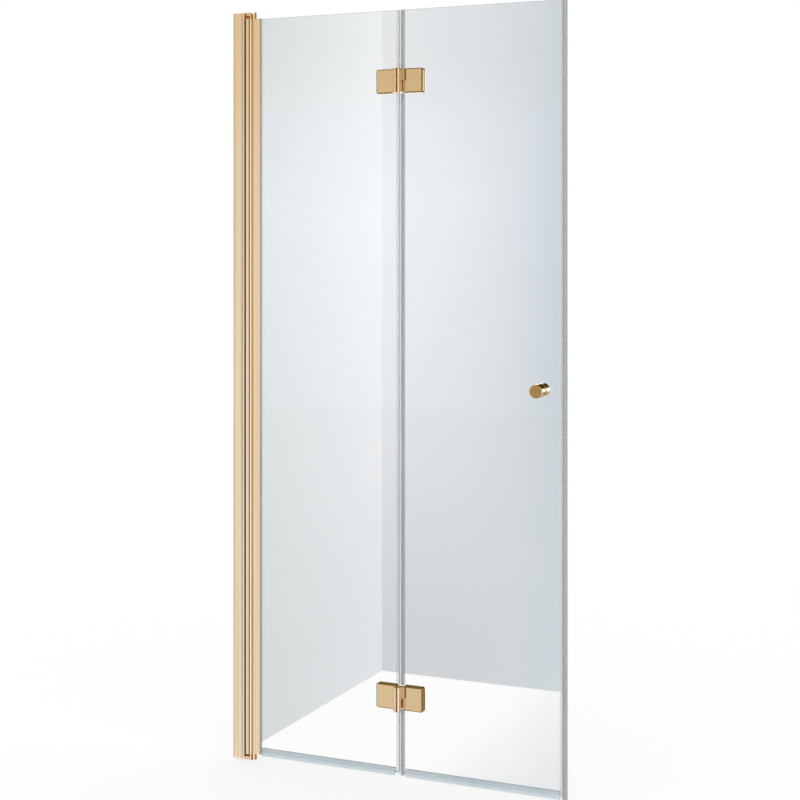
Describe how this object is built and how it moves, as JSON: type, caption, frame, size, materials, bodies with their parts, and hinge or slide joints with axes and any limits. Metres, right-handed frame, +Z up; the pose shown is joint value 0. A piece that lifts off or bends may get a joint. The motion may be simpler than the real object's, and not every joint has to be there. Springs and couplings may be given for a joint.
{
  "type": "folding shower door",
  "caption": "Frameless glass shower door that folds inwards: a wall post with a pivoting profile, joined clear panes on barrel hinges, a round knob and clear seals.",
  "frame": {"origin": "on the wall face, level with the lower end of the wall post and in the middle plane of the glass", "axes": "+X from the wall along the closed door, +Y into the shower, +Z up; the door is closed"},
  "size_m": [0.8847, 0.0625, 1.9],
  "materials": {
    "satin_gold_extrusion": "satin anodised",
    "mill_aluminium": "plain mill finish",
    "brushed_gold": "brushed, plated gold",
    "gold_screw": "plated gold",
    "steel_pin": "ground",
    "white_nylon": "plain",
    "grey_gasket": "matt",
    "clear_vinyl": "clear, flexible",
    "clear_pad": "clear, flexible",
    "clear_glass": "clear, toughened, polished edges"
  },
  "bodies": {
    "wall_frame": {"wall_channel": "mill_aluminium", "wall_post": "satin_gold_extrusion", "post_screws": "gold_screw", "lower_bearing_block": "brushed_gold", "upper_bearing_block": "brushed_gold", "bearing_block_screws": "gold_screw", "lower_pivot_pin": "steel_pin", "upper_pivot_pin": "steel_pin"},
    "hinge_panel": {"door_profile": "satin_gold_extrusion", "lower_pivot_bush": "white_nylon", "upper_pivot_bush": "white_nylon", "pivot_bush_screws": "gold_screw", "lower_thrust_washer": "white_nylon", "upper_thrust_washer": "white_nylon", "front_glazing_gasket": "grey_gasket", "back_glazing_gasket": "grey_gasket", "glass_setting_blocks": "white_nylon", "glass_carrier_block": "white_nylon", "hinge_pane": "clear_glass", "hinge_pane_bottom_seal": "clear_vinyl", "lower_hinge_left_leaf": "brushed_gold", "lower_hinge_left_clamp": "brushed_gold", "lower_hinge_left_pads": "clear_pad", "lower_hinge_left_sleeves": "white_nylon", "lower_hinge_left_screws": "gold_screw", "upper_hinge_left_leaf": "brushed_gold", "upper_hinge_left_clamp": "brushed_gold", "upper_hinge_left_pads": "clear_pad", "upper_hinge_left_sleeves": "white_nylon", "upper_hinge_left_screws": "gold_screw"},
    "fold_panel": {"fold_pane": "clear_glass", "fold_pane_bottom_seal": "clear_vinyl", "fold_seal": "clear_vinyl", "strike_seal": "clear_vinyl", "lower_hinge_right_leaf": "brushed_gold", "lower_hinge_right_clamp": "brushed_gold", "lower_hinge_right_pads": "clear_pad", "lower_hinge_right_sleeves": "white_nylon", "lower_hinge_right_screws": "gold_screw", "lower_hinge_pin": "steel_pin", "lower_hinge_washer": "white_nylon", "upper_hinge_right_leaf": "brushed_gold", "upper_hinge_right_clamp": "brushed_gold", "upper_hinge_right_pads": "clear_pad", "upper_hinge_right_sleeves": "white_nylon", "upper_hinge_right_screws": "gold_screw", "upper_hinge_pin": "steel_pin", "upper_hinge_washer": "white_nylon", "outer_knob": "brushed_gold", "inner_knob": "brushed_gold", "knob_stud": "steel_pin", "knob_sleeve": "white_nylon", "knob_washers": "clear_pad", "knob_set_screw": "steel_pin"}
  },
  "joints": [
    {"name": "wall_pivot", "type": "hinge", "parent": "wall_frame", "child": "hinge_panel", "pos_m": [0.0475, 0, 0.945], "axis": [0, 0, 1], "range_deg": [0, 90]},
    {"name": "fold", "type": "hinge", "parent": "hinge_panel", "child": "fold_panel", "pos_m": [0.4595, -0.022, 0.945], "axis": [0, 0, 1], "range_deg": [-175, 0]}
  ]
}
